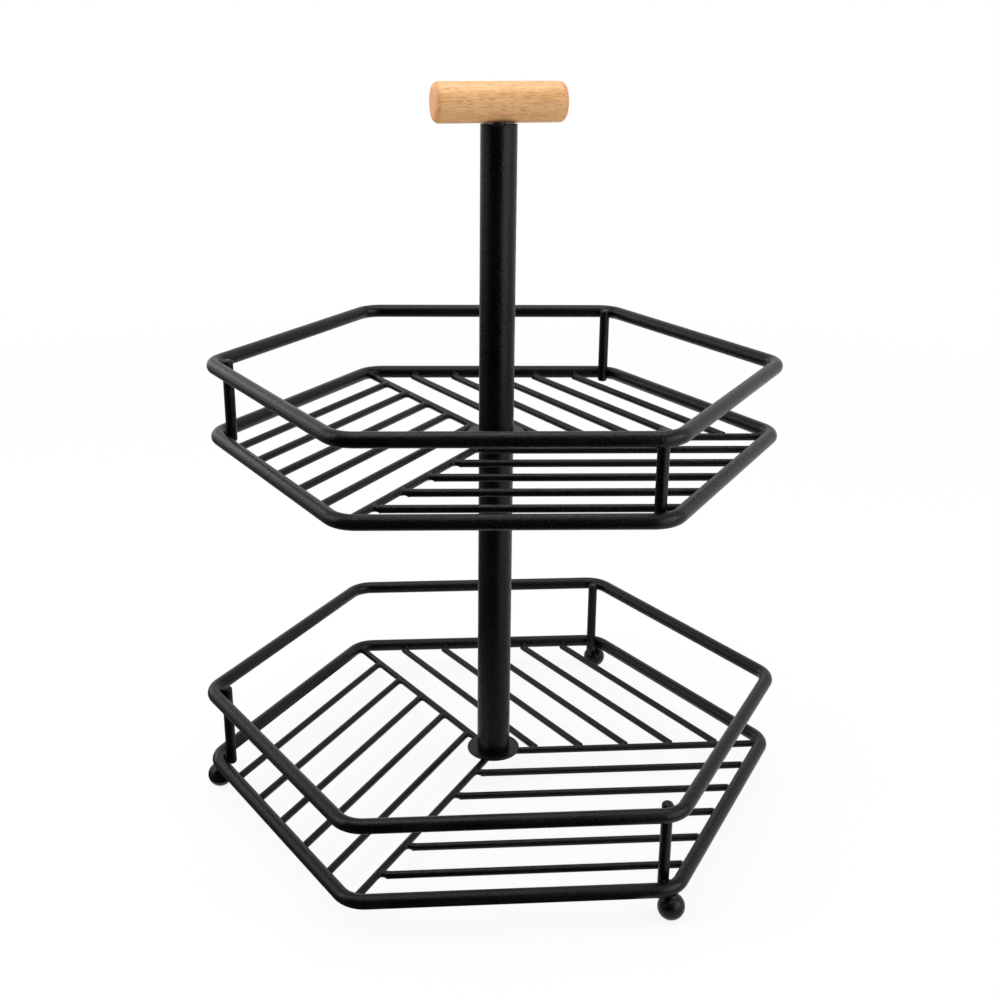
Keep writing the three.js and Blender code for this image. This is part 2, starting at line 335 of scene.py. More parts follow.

# %% [markdown]
# ## Zinc, darkened as painted shade
# The base screw, the threaded inserts and the studs are zinc-plated steel. Their colour is darkened to a
# near black, which is painted shade for the narrow gap under the handle where they show. They were turned
# on a lathe, so fine bands run round the pole's axis in their bump and roughness, under a cloudy plating. A
# single grey would look like plastic.

# %% Zinc finish
# Painted shade: both zinc tones are darkened to a near black for the shaded gap under the handle. Only the
# cloud between them is random.
ZINC_SHADED_LIGHT = (0.060, 0.061, 0.064, 1)
ZINC_SHADED_DARK = (0.026, 0.026, 0.028, 1)
ZINC_CLOUDS = (0.35, 0.7)
ZINC_CLOUD_PER_M = 420
ROUND_THE_AXIS = (0.08, 0.08, 1)
TURNING_PER_M = 2600
ZINC_BUMP = 0.3
ZINC_DEPTH = 0.03 * MM
ZINC_ROUGHNESS = 0.38
ZINC_TURNING_ROUGHNESS = 0.14
ZINC_CLOUD_ROUGHNESS = 0.2


def shaded_zinc_plate():
    material, recipe = new_finish("shaded_zinc_plate")
    where = recipe.step("ShaderNodeTexCoord", out="Object")
    flattened = recipe.step("ShaderNodeMapping", None, {"Vector": where, "Scale": ROUND_THE_AXIS})
    turning = recipe.noise(flattened, TURNING_PER_M)
    cloud = recipe.noise(where, ZINC_CLOUD_PER_M, detail=3.0)
    rough_turning = turning * ZINC_TURNING_ROUGHNESS
    rough_cloud = (cloud - NOISE_MIDDLE) * ZINC_CLOUD_ROUGHNESS
    bump = {"Strength": ZINC_BUMP, "Distance": ZINC_DEPTH, "Height": turning}
    close_finish(recipe, {
        # Painted shade: the base colour runs between the two darkened zinc tones.
        "Base Color": recipe.mixed(recipe.ramp(cloud, *ZINC_CLOUDS), ZINC_SHADED_LIGHT, ZINC_SHADED_DARK),
        "Metallic": 1.0,
        "Roughness": ZINC_ROUGHNESS + rough_turning + rough_cloud,
        "Normal": recipe.step("ShaderNodeBump", None, bump),
    })
    return material


zinc = shaded_zinc_plate()
print(zinc.name, "has", len(zinc.node_tree.nodes), "nodes")

# %% [markdown]
# ## Shapes from recipes
# A wire that follows a path, or one that is repeated, is made by Geometry Nodes. A shape recipe has named
# inputs for its sizes, adds its shape to what the recipes before it made, and gives it the finish. A piece
# is then a stack of recipes that is evaluated once and kept as a plain mesh.


# %% Open and close a shape recipe
def open_shape(name, inputs):
    tree = bpy.data.node_groups.new(name, "GeometryNodeTree")
    tree.interface.new_socket("Geometry", in_out="INPUT", socket_type="NodeSocketGeometry")
    for label, kind in inputs.items():
        tree.interface.new_socket(label, in_out="INPUT", socket_type="NodeSocket" + kind)
    tree.interface.new_socket("Material", in_out="INPUT", socket_type="NodeSocketMaterial")
    tree.interface.new_socket("Geometry", in_out="OUTPUT", socket_type="NodeSocketGeometry")
    recipe = Recipe(tree)
    return recipe, recipe.step("NodeGroupInput")


def close_shape(recipe, given, shape):
    whole = recipe.step("GeometryNodeRealizeInstances", None, {"Geometry": shape})
    smooth = recipe.step("GeometryNodeSetShadeSmooth", None, {"Geometry": whole})
    dressed = recipe.step("GeometryNodeSetMaterial", None, {
        "Geometry": smooth,
        "Material": given.other("Material"),
    })
    joined = recipe.step("GeometryNodeJoinGeometry", None, {"Geometry": dressed})
    # What the recipes before this one made joins in as well.
    recipe.tree.links.new(given.socket, joined.socket.node.inputs[0])
    recipe.step("NodeGroupOutput", None, {"Geometry": joined})
    print("shape recipe", recipe.tree.name, "has", len(recipe.tree.nodes), "nodes")
    return recipe.tree


print("shape recipes so far:", len(bpy.data.node_groups))


# %% Turn a stack of recipes into a plain mesh
def make_piece(name, *stack):
    blank = bpy.data.objects.new(name + "_recipe", bpy.data.meshes.new(name + "_blank"))
    scene.collection.objects.link(blank)
    for tree, sizes in stack:
        modifier = blank.modifiers.new(tree.name, "NODES")
        modifier.node_group = tree
        for entry in tree.interface.items_tree:
            if entry.in_out == "INPUT" and entry.name in sizes:
                modifier[entry.identifier] = sizes[entry.name]
    bpy.context.view_layer.update()
    finished = blank.evaluated_get(bpy.context.evaluated_depsgraph_get())
    mesh = bpy.data.meshes.new_from_object(finished)
    bpy.data.objects.remove(blank)
    return keep_piece(name, mesh)


def keep_piece(name, mesh):
    mesh.name = name
    piece = bpy.data.objects.new(name, mesh)
    scene.collection.objects.link(piece)
    mesh.calc_loop_triangles()
    print(f"{name}: {len(mesh.loop_triangles)} triangles")
    return piece


def settle(piece, body, slot, *nodes):
    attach(piece, body)
    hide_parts(*nodes)


print("solids to dress:", len(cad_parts))

# %% [markdown]
# ## Sizes of the two trays
# Both trays have the same make and differ a little in size. A tray is set out from its corner radius: slats
# start on a spine at every sixth of it. The upper tray was fastened a little out of line with the lower
# one.

# %% Tray sizes
RING_WIRE = 7 * MM
RING_BEND = 14 * MM
UPRIGHT_WIRE = 5.4 * MM
FLOOR_WIRE = 3.7 * MM
SEAT_GAP = 0.3 * MM
SLATS = 5
THIRDS = 3
THIRD_TURN = math.radians(120)
SLAT_LEAN = math.radians(120)
HEXAGON_ANGLE = math.radians(60)
FLOOR_DROP = (RING_WIRE - FLOOR_WIRE) / 2
TRAYS = {
    "lower": {
        "corner": 150 * MM,
        "base": 16.3 * MM,
        "rim": 56.3 * MM,
        "turn": 0.0,
        "body": "stand",
    },
    "upper": {
        "corner": 140 * MM,
        "base": 196.3 * MM,
        "rim": 232.3 * MM,
        "turn": math.radians(-2.2),
        "body": "upper_tray",
    },
}
BEND_CUT = RING_BEND * (1 / math.sin(HEXAGON_ANGLE) - 1)
UPRIGHT_INSET = RING_WIRE / 2 + UPRIGHT_WIRE / 2 + SEAT_GAP


def bend_radius(tray):
    return tray["corner"] - BEND_CUT


for name, tray in TRAYS.items():
    low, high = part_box(name + "_base_ring")
    print(name, "ring height in the solids, mm:", round((low.z + high.z) / 2 / MM, 2))

# %% [markdown]
# ## Rings
# The base ring and the top rim are one kind of thick wire, bent at six corners. A hexagon with filleted
# corners is the path, and a circle is swept along it. Many steps in each bend keep the highlight smooth
# there.

# %% Ring recipe
RING_CORNERS = 6
RING_SIDES = 40
BEND_STEPS = 24


def ring_recipe():
    recipe, given = open_shape("bent_ring", {"Corner": "Float", "Height": "Float", "Turn": "Float"})
    outline = {"Vertices": RING_CORNERS, "Radius": given.other("Corner")}
    hexagon = recipe.step("GeometryNodeMeshCircle", None, outline)
    path = recipe.step("GeometryNodeMeshToCurve", None, {"Mesh": hexagon})
    bent = recipe.step("GeometryNodeFilletCurve", {"mode": "POLY"}, {
        "Curve": path,
        "Count": BEND_STEPS,
        "Radius": RING_BEND,
        "Limit Radius": True,
    })
    round_wire = {"Resolution": RING_SIDES, "Radius": RING_WIRE / 2}
    section = recipe.step("GeometryNodeCurvePrimitiveCircle", None, round_wire)
    wire = recipe.step("GeometryNodeCurveToMesh", None, {"Curve": bent, "Profile Curve": section})
    lift = recipe.step("ShaderNodeCombineXYZ", None, {"Z": given.other("Height")})
    turn = recipe.step("ShaderNodeCombineXYZ", None, {"Z": given.other("Turn")})
    placed = {"Geometry": wire, "Translation": lift, "Rotation": turn}
    return close_shape(recipe, given, recipe.step("GeometryNodeTransform", None, placed))


bent_ring = ring_recipe()

# %% The four rings
for name, tray in TRAYS.items():
    for ring, level in (("base_ring", "base"), ("top_rim", "rim")):
        sizes = {"Corner": tray["corner"], "Height": tray[level], "Turn": tray["turn"], "Material": coat}
        piece = make_piece(f"{name}_{ring}_wire", (bent_ring, sizes))
        settle(piece, tray["body"], "coat", f"{name}_{ring}")

# %% [markdown]
# ## Straight wires
# Slats, spines and uprights are straight lengths with cut ends, and so, much thicker, is the crossbar. One
# recipe makes them all: a row of points with radii that round the two ends, swept by a circle. It sets the
# lengths out in a row along a spine and repeats the row in each third of the tray. A plain ring just behind
# each rounded end keeps the long sides shaded straight.

# %% A straight length with rounded ends
END_STEPS = 6
ROD_POINTS = 2 * (END_STEPS + 2)
PLAIN_RING_SETBACK = 0.4


def rod_line(recipe, given):
    index = recipe.step("GeometryNodeInputIndex")
    points = recipe.step("GeometryNodePoints", None, {"Count": ROD_POINTS})
    from_far_end = (ROD_POINTS - 1) - index
    step = index.lowest(from_far_end)
    angle = step.lowest(float(END_STEPS)) * (math.pi / 2 / END_STEPS)
    bevel = given.other("End round")
    behind = (step - END_STEPS).highest(0.0)
    inset = bevel * (1 - step.math("COSINE", angle)) + bevel * behind * PLAIN_RING_SETBACK
    far_half = index.math("GREATER_THAN", index, ROD_POINTS / 2 - 0.5)
    near = given.other("Start") + inset
    far = given.other("Start") + given.other("Length") - inset
    place = recipe.step("ShaderNodeCombineXYZ", None, {"X": near + (far - near) * far_half})
    moved = recipe.step("GeometryNodeSetPosition", None, {"Geometry": points, "Position": place})
    line = recipe.step("GeometryNodePointsToCurves", None, {"Points": moved})
    radius = given.other("Diameter") / 2 - bevel * (1 - step.math("SINE", angle))
    unit_circle = {"Resolution": given.other("Sides"), "Radius": 1.0}
    section = recipe.step("GeometryNodeCurvePrimitiveCircle", None, unit_circle)
    swept = {"Curve": line, "Profile Curve": section, "Scale": radius, "Fill Caps": True}
    return recipe.step("GeometryNodeCurveToMesh", None, swept)


print("points along a straight length:", ROD_POINTS)

# %% Set copies out along a row, and the row in each third
ROW_INPUTS = {
    "Count": "Int",
    "First": "Vector",
    "Spacing": "Vector",
    "Copy turn": "Vector",
    "Thirds": "Int",
    "Turn": "Float",
    "Height": "Float",
}


def rows_in_thirds(recipe, given, shape):
    row = recipe.step("GeometryNodeMeshLine", {"mode": "OFFSET"}, {
        "Count": given.other("Count"),
        "Start Location": given.other("First"),
        "Offset": given.other("Spacing"),
    })
    placed = {"Points": row, "Instance": shape, "Rotation": given.other("Copy turn")}
    third = recipe.step("GeometryNodeInstanceOnPoints", None, placed)
    lift = recipe.step("ShaderNodeCombineXYZ", None, {"Z": given.other("Height")})
    middle = recipe.step("GeometryNodeMeshLine", {"mode": "OFFSET"}, {
        "Count": given.other("Thirds"),
        "Start Location": lift,
        "Offset": (0, 0, 0),
    })
    index = recipe.step("GeometryNodeInputIndex")
    turn = recipe.step("ShaderNodeCombineXYZ", None, {"Z": index * THIRD_TURN + given.other("Turn")})
    placed = {"Points": middle, "Instance": third, "Rotation": turn}
    return recipe.step("GeometryNodeInstanceOnPoints", None, placed)


def rod_recipe():
    sizes = {"Length": "Float", "Start": "Float", "Diameter": "Float", "End round": "Float", "Sides": "Int"}
    recipe, given = open_shape("straight_wires", {**sizes, **ROW_INPUTS})
    return close_shape(recipe, given, rows_in_thirds(recipe, given, rod_line(recipe, given)))


straight_wires = rod_recipe()

# %% [markdown]
# ## Tray floors
# Each third of a floor has a spine from the middle to a corner and five slats, all parallel to the tray's
# side, from the spine to the ring. The ends are cut square, so a slat that meets the spine at 60 degrees
# touches it with one edge and leaves a small wedge open on the other side. The slats of the front third
# stop a little farther from their spine, and the weld reaches across to it as a neck.

# %% Floor wires
FLOOR_SIDES = 24
CUT_ROUND = 0.35 * MM
SPINE_START = 9.0 * MM
SPINE_REACH = 3.25 * MM
SLAT_FROM_SPINE = {"back": 3.1 * MM, "left": 3.1 * MM, "front": 5.0 * MM}
SLAT_FROM_RING = 4.95 * MM
THIRD_NAMES = ("back", "left", "front")
SPINE_NAMES = ("right", "back", "front")


def floor_sizes(tray):
    return {
        "Diameter": FLOOR_WIRE,
        "End round": CUT_ROUND,
        "Sides": FLOOR_SIDES,
        "Thirds": THIRDS,
        "Turn": tray["turn"],
        "Height": tray["base"] - FLOOR_DROP,
        "Material": coat,
    }


for name, tray in TRAYS.items():
    pitch = tray["corner"] / (SLATS + 1)
    spines = {
        **floor_sizes(tray),
        "Count": 1,
        "Start": SPINE_START,
        "Length": bend_radius(tray) - SPINE_REACH - SPINE_START,
    }
    stack = [(straight_wires, spines)]
    for number, third in enumerate(THIRD_NAMES):
        stack.append((straight_wires, {
            **floor_sizes(tray),
            "Thirds": 1,
            "Turn": tray["turn"] + number * THIRD_TURN,
            "Count": SLATS,
            "First": (pitch, 0, 0),
            "Spacing": (pitch, 0, 0),
            "Copy turn": (0, 0, SLAT_LEAN),
            "Start": SLAT_FROM_SPINE[third],
            "Length": tray["corner"] - SLAT_FROM_RING - SLAT_FROM_SPINE[third],
        }))
    piece = make_piece(f"{name}_floor_wires", *stack)
    spine_nodes = [f"{name}_spine_{spine}" for spine in SPINE_NAMES]
    slat_nodes = [f"{name}_slat_{third}_{row + 1}" for third in THIRD_NAMES for row in range(SLATS)]
    settle(piece, tray["body"], "coat", *spine_nodes, *slat_nodes)

# %% [markdown]
# ## Uprights
# Three uprights of a middle wire join the rim to the base ring, tucked inside every other bend. Their ends
# were rounded over before coating. They start level with the base ring's underside and stop just below the
# top of the rim. They are the straight-wire recipe again, turned on end.

# %% Uprights
UPRIGHT_ROUND = 1.5 * MM
UPRIGHT_TOP_DROP = 1.2 * MM
UPRIGHT_ANGLE = HEXAGON_ANGLE
UPRIGHT_SIDES = 32
for name, tray in TRAYS.items():
    sizes = {
        "Diameter": UPRIGHT_WIRE,
        "End round": UPRIGHT_ROUND,
        "Sides": UPRIGHT_SIDES,
        "Length": tray["rim"] - tray["base"] + RING_WIRE - UPRIGHT_TOP_DROP,
        "Start": -RING_WIRE / 2,
        "Count": 1,
        "First": (bend_radius(tray) - UPRIGHT_INSET, 0, 0),
        "Copy turn": (0, -math.pi / 2, 0),
        "Thirds": THIRDS,
        "Turn": UPRIGHT_ANGLE + tray["turn"],
        "Height": tray["base"],
        "Material": coat,
    }
    piece = make_piece(f"{name}_uprights", (straight_wires, sizes))
    settle(piece, tray["body"], "coat", *[f"{name}_upright_{third}" for third in THIRD_NAMES])

# %% [markdown]
# ## Welds
# Every joint is welded, and the coat rounds the weld into a small smooth fillet. A ball of metal at each
# joint would look stuck on. Instead the two wires are written as distances, the distances are blended, and
# rays from inside the joint find the blended skin: it swells where the wires are close and dips under their
# surface everywhere else.

# %% Blend two shapes at a joint
X_AXIS, Y_AXIS, Z_AXIS = np.eye(3)
WELD_RAYS = 28
WELD_ROWS = 14
SKIN_SINK = 0.015 * MM
HALVINGS = 24


def blended(first, second, blend):
    """The smaller of two distances, rounded off where they differ by less than the blend."""
    near = np.maximum(blend - np.abs(first - second), 0) / blend
    return np.minimum(first, second) - near * near * blend / 4


def skin_points(joint, centres, across, reach):
    """A ring of rays at each centre, in the plane of the two across directions, halved down to the skin."""
    angles = np.arange(WELD_RAYS) * (2 * math.pi / WELD_RAYS)
    fan = np.outer(np.cos(angles), across[0]) + np.outer(np.sin(angles), across[1])
    points = []
    for centre in centres:
        inside = np.zeros(WELD_RAYS)
        outside = np.full(WELD_RAYS, reach)
        for _ in range(HALVINGS):
            middle = (inside + outside) / 2
            within = joint(centre + middle[:, None] * fan) < -SKIN_SINK
            inside = np.where(within, middle, inside)
            outside = np.where(within, outside, middle)
        points.extend(centre + inside[:, None] * fan)
    return points


def weld_skin(name, joint, centres, across, reach):
    """The closed skin of a joint: its rings of points, joined up and capped."""
    points = skin_points(joint, centres, across, reach)
    faces = []
    for row in range(len(centres) - 1):
        low = row * WELD_RAYS
        high = low + WELD_RAYS
        for ray in range(WELD_RAYS):
            after = (ray + 1) % WELD_RAYS
            faces.append((low + ray, low + after, high + after, high + ray))
    last = (len(centres) - 1) * WELD_RAYS
    faces.append(tuple(reversed(range(WELD_RAYS))))
    faces.append(tuple(range(last, last + WELD_RAYS)))
    mesh = bpy.data.meshes.new(name)
    mesh.from_pydata([tuple(point) for point in points], [], faces)
    mesh.validate()
    print(f"weld skin {name}: {len(mesh.polygons)} faces")
    return bpy.data.objects.new(name, mesh)


def steps(low, high):
    return [low + (high - low) * number / (WELD_ROWS - 1) for number in range(WELD_ROWS)]


print("swell where two surfaces cross, as a share of the blend:", -blended(0.0, 0.0, 1.0))


# %% A floor wire that ends at another wire
FLOOR_WELD_REACH = 4.6 * MM
ONTO_SPINE = {"other_radius": FLOOR_WIRE / 2, "other_lift": 0.0}
ONTO_RING = {"other_radius": RING_WIRE / 2, "other_lift": FLOOR_DROP}


def wire_end_weld(name, other_radius, other_lift, lean, cut, blend, rows, shift=0.0, neck=0.0):
    """The other wire runs along X. The floor wire leaves it at the angle lean, cut off at the distance cut.

    The rows of rays reach from the other wire outwards. The shift moves their centres along the other wire,
    so that they stay inside the joint. A neck of weld metal, where there is one, has that radius and runs
    straight across from the cut end to the other wire."""
    way = np.array((math.cos(lean), math.sin(lean), 0))
    aside = np.array((-way[1], way[0], 0))

    def joint(where):
        other = np.hypot(where[:, 1], where[:, 2] - other_lift) - other_radius
        side = np.hypot(where @ aside, where[:, 2]) - FLOOR_WIRE / 2
        joined = blended(other, np.maximum(side, cut - where @ way), blend)
        if not neck:
            return joined
        bridge = np.hypot(where[:, 0] - cut * way[0], where[:, 2]) - neck
        return blended(joined, np.maximum(bridge, where[:, 1] - cut * way[1]), blend)

    turn_in = cut * way[1] if neck else 0.0
    centres = [np.array((max(y, turn_in) / math.tan(lean) + shift, y, 0)) for y in steps(*rows)]
    return weld_skin(name, joint, centres, (Z_AXIS, X_AXIS), FLOOR_WELD_REACH)


slat_at_spine = wire_end_weld(
    "slat_at_spine",
    **ONTO_SPINE,
    lean=SLAT_LEAN,
    cut=SLAT_FROM_SPINE["left"],
    blend=1.7 * MM,
    rows=(0.9 * MM, 6.2 * MM),
    shift=-1.2 * MM,
)
slat_off_spine = wire_end_weld(
    "slat_off_spine",
    **ONTO_SPINE,
    lean=SLAT_LEAN,
    cut=SLAT_FROM_SPINE["front"],
    blend=1.2 * MM,
    rows=(0.9 * MM, 7.6 * MM),
    neck=1.55 * MM,
)
slat_at_ring = wire_end_weld(
    "slat_at_ring",
    **ONTO_RING,
    lean=SLAT_LEAN,
    cut=SLAT_FROM_RING,
    blend=1.3 * MM,
    rows=(1.9 * MM, 7.4 * MM),
    shift=-1.6 * MM,
)
spine_at_ring = wire_end_weld(
    "spine_at_ring",
    **ONTO_RING,
    lean=math.pi / 2,
    cut=SPINE_REACH,
    blend=1.7 * MM,
    rows=(1.9 * MM, 6.8 * MM),
)

# %% [markdown]
# Three more joints are not at a wire's end: an upright inside a bend, a ball foot under a bend, and a
# centre plate on a spine. Each is two distances again, and its rays start on the line between the two
# pieces.

# %% Joints at a bend and under a plate
FOOT_RADIUS = 6.5 * MM
FOOT_CENTRE = 6.0 * MM
UPRIGHT_WELD = {"blend": 1.9 * MM, "reach": 2.3 * MM, "from_upright": 0.9 * MM, "from_ring": 1.2 * MM}
FOOT_WELD = {"blend": 2.4 * MM, "reach": 4.6 * MM, "in_ball": 1.8 * MM, "in_ring": 1.6 * MM}
PLATE_WELD = {"blend": 1.5 * MM, "reach": 2.2 * MM, "in_spine": 0.4 * MM, "in_plate": 0.5 * MM}


def bend_distance(where):
    """Distance from the ring's wire near a bend, whose centre is the origin."""
    return np.hypot(np.hypot(where[:, 0], where[:, 1]) - RING_BEND, where[:, 2]) - RING_WIRE / 2


def upright_weld():
    axis = RING_BEND - UPRIGHT_INSET

    def joint(where):
        upright = np.hypot(where[:, 0] - axis, where[:, 1]) - UPRIGHT_WIRE / 2
        return blended(upright, bend_distance(where), UPRIGHT_WELD["blend"])

    rows = steps(axis + UPRIGHT_WELD["from_upright"], RING_BEND - UPRIGHT_WELD["from_ring"])
    centres = [x * X_AXIS for x in rows]
    return weld_skin("upright_at_bend", joint, centres, (Y_AXIS, Z_AXIS), UPRIGHT_WELD["reach"])


def foot_weld(drop):
    ball_centre = np.array((RING_BEND, 0, -drop))

    def joint(where):
        ball = np.linalg.norm(where - ball_centre, axis=1) - FOOT_RADIUS
        return blended(ball, bend_distance(where), FOOT_WELD["blend"])

    rows = steps(FOOT_RADIUS - drop - FOOT_WELD["in_ball"], -FOOT_WELD["in_ring"])
    centres = [np.array((RING_BEND, 0, z)) for z in rows]
    return weld_skin("foot_at_bend", joint, centres, (X_AXIS, Y_AXIS), FOOT_WELD["reach"])


def plate_weld():
    seat = FLOOR_WIRE / 2 + SEAT_GAP

    def joint(where):
        spine = np.hypot(where[:, 1], where[:, 2]) - FLOOR_WIRE / 2
        return blended(spine, seat - where[:, 2], PLATE_WELD["blend"])

    centres = [z * Z_AXIS for z in steps(PLATE_WELD["in_spine"], seat + PLATE_WELD["in_plate"])]
    return weld_skin("plate_on_spine", joint, centres, (X_AXIS, Y_AXIS), PLATE_WELD["reach"])


upright_at_bend = upright_weld()
foot_at_bend = foot_weld(TRAYS["lower"]["base"] - FOOT_CENTRE)
plate_on_spine = plate_weld()

# %% [markdown]
# The skins are placed by the same rows as the wires, and each copy gets its own faint lumps from a noise
# that reads its place in the tray.

# %% Weld recipe
LUMP_PER_M = 700
LUMP_HEIGHT = 0.05 * MM


def weld_recipe():
    recipe, given = open_shape("welds", {"Skin": "Object", **ROW_INPUTS})
    skin = recipe.step("GeometryNodeObjectInfo", None, {"Object": given.other("Skin")}, "Geometry")
    placed = rows_in_thirds(recipe, given, skin)
    whole = recipe.step("GeometryNodeRealizeInstances", None, {"Geometry": placed})
    here = recipe.step("GeometryNodeInputPosition")
    lump = (recipe.noise(here, LUMP_PER_M, detail=1.0) - NOISE_MIDDLE) * LUMP_HEIGHT
    normal = recipe.step("GeometryNodeInputNormal")
    push = recipe.step("ShaderNodeVectorMath", {"operation": "SCALE"}, {"Vector": normal, "Scale": lump})
    lumpy = recipe.step("GeometryNodeSetPosition", None, {"Geometry": whole, "Offset": push})
    return close_shape(recipe, given, lumpy)


welds = weld_recipe()

# %% Welds of each tray
PLATE_WELD_RADIUS = 11.4 * MM


def weld_row(tray, skin, height, first, turn=0.0, count=1, spacing=0.0, copy_turn=0.0, thirds=THIRDS):
    sizes = {
        "Skin": skin,
        "Count": count,
        "First": first,
        "Spacing": (spacing, 0, 0),
        "Copy turn": (0, 0, copy_turn),
        "Thirds": thirds,
        "Turn": tray["turn"] + turn,
        "Height": height,
        "Material": coat,
    }
    return welds, sizes


for name, tray in TRAYS.items():
    pitch = tray["corner"] / (SLATS + 1)
    floor = tray["base"] - FLOOR_DROP
    bend = bend_radius(tray)
    on_spine = (pitch, 0, 0)
    on_ring = (pitch - tray["corner"] / 2, tray["corner"] * math.sin(HEXAGON_ANGLE), 0)
    in_bend = (bend - RING_BEND, 0, 0)
    slats = {"count": SLATS, "spacing": pitch}
    front = 2 * THIRD_TURN
    rows = [
        weld_row(tray, slat_at_spine, floor, on_spine, thirds=THIRDS - 1, **slats),
        weld_row(tray, slat_off_spine, floor, on_spine, turn=front, thirds=1, **slats),
        weld_row(tray, slat_at_ring, floor, on_ring, copy_turn=math.pi, **slats),
        weld_row(tray, spine_at_ring, floor, (bend, 0, 0), copy_turn=math.pi / 2),
        weld_row(tray, plate_on_spine, floor, (PLATE_WELD_RADIUS, 0, 0)),
        weld_row(tray, upright_at_bend, tray["base"], in_bend, turn=UPRIGHT_ANGLE),
        weld_row(tray, upright_at_bend, tray["rim"], in_bend, turn=UPRIGHT_ANGLE),
    ]
    if name == "lower":
        rows.append(weld_row(tray, foot_at_bend, tray["base"], in_bend, turn=UPRIGHT_ANGLE))
    piece = make_piece(f"{name}_welds", *rows)
    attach(piece, tray["body"])

# %% [markdown]
# ## Ball feet
# Three steel balls under the uprights' corners are the feet. Each stands on a small flat: the lowest points
# of a sphere are lifted to the level of the table. The welds to the ring were made with the others.

# %% Ball feet
FOOT_STEPS = 48


def foot_recipe():
    recipe, given = open_shape("ball_feet", {"Radius": "Float", **ROW_INPUTS})
    ball = recipe.step("GeometryNodeMeshUVSphere", None, {
        "Segments": FOOT_STEPS,
        "Rings": FOOT_STEPS // 2,
        "Radius": given.other("Radius"),
    })
    here = recipe.step("GeometryNodeInputPosition")
    place = recipe.step("ShaderNodeSeparateXYZ", None, {"Vector": here})
    level = place.other("Z").highest(-FOOT_CENTRE)
    flat = recipe.step("ShaderNodeCombineXYZ", None, {
        "X": place.other("X"),
        "Y": place.other("Y"),
        "Z": level,
    })
    standing = recipe.step("GeometryNodeSetPosition", None, {"Geometry": ball, "Position": flat})
    return close_shape(recipe, given, rows_in_thirds(recipe, given, standing))


feet = make_piece("ball_feet", (foot_recipe(), {
    "Radius": FOOT_RADIUS,
    "Count": 1,
    "First": (bend_radius(TRAYS["lower"]), 0, 0),
    "Thirds": THIRDS,
    "Turn": UPRIGHT_ANGLE,
    "Height": FOOT_CENTRE,
    "Material": coat,
}))
settle(feet, "stand", "coat", "foot_back", "foot_left", "foot_front")

# %% [markdown]
# ## Pole and centre plates
# The pole is two lengths of tube, and a round plate under each length carries a tray. They are turned
# shapes: a section with eased corners, spun about the pole's axis. Extra points beside each eased corner
# keep the flats flat. The tubes are drawn out by most of the gap that the solids keep to the plates.

# %% Spin a section round the pole's axis
EASE_STEPS = 5
EASE_LEAD = 0.5
SPUN_SIDES = 96


def eased_box(inner, outer, low, high, ease):
    corners = (
        (outer, low, -90),
        (outer, high, 0),
        (inner, high, 90),
        (inner, low, 180),
    )
    lead = ease * EASE_LEAD
    section = []
    for radius, level, start in corners:
        middle_radius = radius + (ease if radius == inner else -ease)
        middle_level = level + (ease if level == low else -ease)
        arc = [math.radians(start + 90 * step / EASE_STEPS) for step in range(EASE_STEPS + 1)]
        spots = [(middle_radius + ease * math.cos(a), middle_level + ease * math.sin(a)) for a in arc]
        first, last = spots[0], spots[-1]
        before = (first[0] + lead * math.sin(arc[0]), first[1] - lead * math.cos(arc[0]))
        after = (last[0] - lead * math.sin(arc[-1]), last[1] + lead * math.cos(arc[-1]))
        section.extend([before, *spots, after])
    return section


def spun(name, section):
    angles = [2 * math.pi * side / SPUN_SIDES for side in range(SPUN_SIDES)]
    points = [(r * math.cos(a), r * math.sin(a), z) for a in angles for r, z in section]
    rows = len(section)
    faces = []
    for side in range(SPUN_SIDES):
        here = side * rows
        there = (side + 1) % SPUN_SIDES * rows
        for row in range(rows):
            after = (row + 1) % rows
            faces.append((here + row, there + row, there + after, here + after))
    mesh = bpy.data.meshes.new(name)
    mesh.from_pydata(points, [], faces)
    mesh.shade_smooth()
    mesh.materials.append(coat)
    return keep_piece(name, mesh)


print("sides of a spun piece:", SPUN_SIDES)

# %% Tubes and plates
POLE_RADIUS = 8.7 * MM
POLE_WALL = 1.2 * MM
PLATE_RADIUS = 14 * MM
PLATE_HOLE = 3.3 * MM
JOINT_EASE = 0.3 * MM
TOP_EASE = 0.35 * MM
PLATE_EASE = 0.4 * MM
TOUCH = 0.25 * MM
lower_low, lower_high = (corner.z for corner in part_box("lower_pole"))
upper_low, upper_high = (corner.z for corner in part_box("upper_pole"))
bore = POLE_RADIUS - POLE_WALL
lower_section = eased_box(bore, POLE_RADIUS, lower_low - TOUCH, lower_high + TOUCH, JOINT_EASE)
upper_section = eased_box(bore, POLE_RADIUS, upper_low - TOUCH, upper_high, TOP_EASE)
settle(spun("lower_tube", lower_section), "stand", "coat", "lower_pole")
settle(spun("upper_tube", upper_section), "stand", "coat", "upper_pole")
for name, tray in TRAYS.items():
    low, high = (corner.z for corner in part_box(f"{name}_centre_plate"))
    section = eased_box(PLATE_HOLE, PLATE_RADIUS, low, high, PLATE_EASE)
    plate = spun(f"{name}_plate_disc", section)
    settle(plate, tray["body"], "coat", f"{name}_centre_plate")

# %% [markdown]
# ## Crossbar
# The handle is a short length of beech dowel with its ends rounded over, set across the pole's flat top. It
# is the straight-wire recipe again, thicker, with more sides and a wider rounding.

# %% Crossbar
HANDLE_DIAMETER = 18.6 * MM
HANDLE_SIDES = 96
crossbar = make_piece("crossbar", (straight_wires, {
    "Diameter": HANDLE_DIAMETER,
    "End round": HANDLE_ROUND,
    "Sides": HANDLE_SIDES,
    "Length": HANDLE_LENGTH,
    "Start": -HANDLE_LENGTH / 2,
    "Count": 1,
    "Thirds": 1,
    "Turn": HANDLE_TURN,
    "Height": HANDLE_HEIGHT,
    "Material": wood,
}))
settle(crossbar, "handle", "beech", "handle")
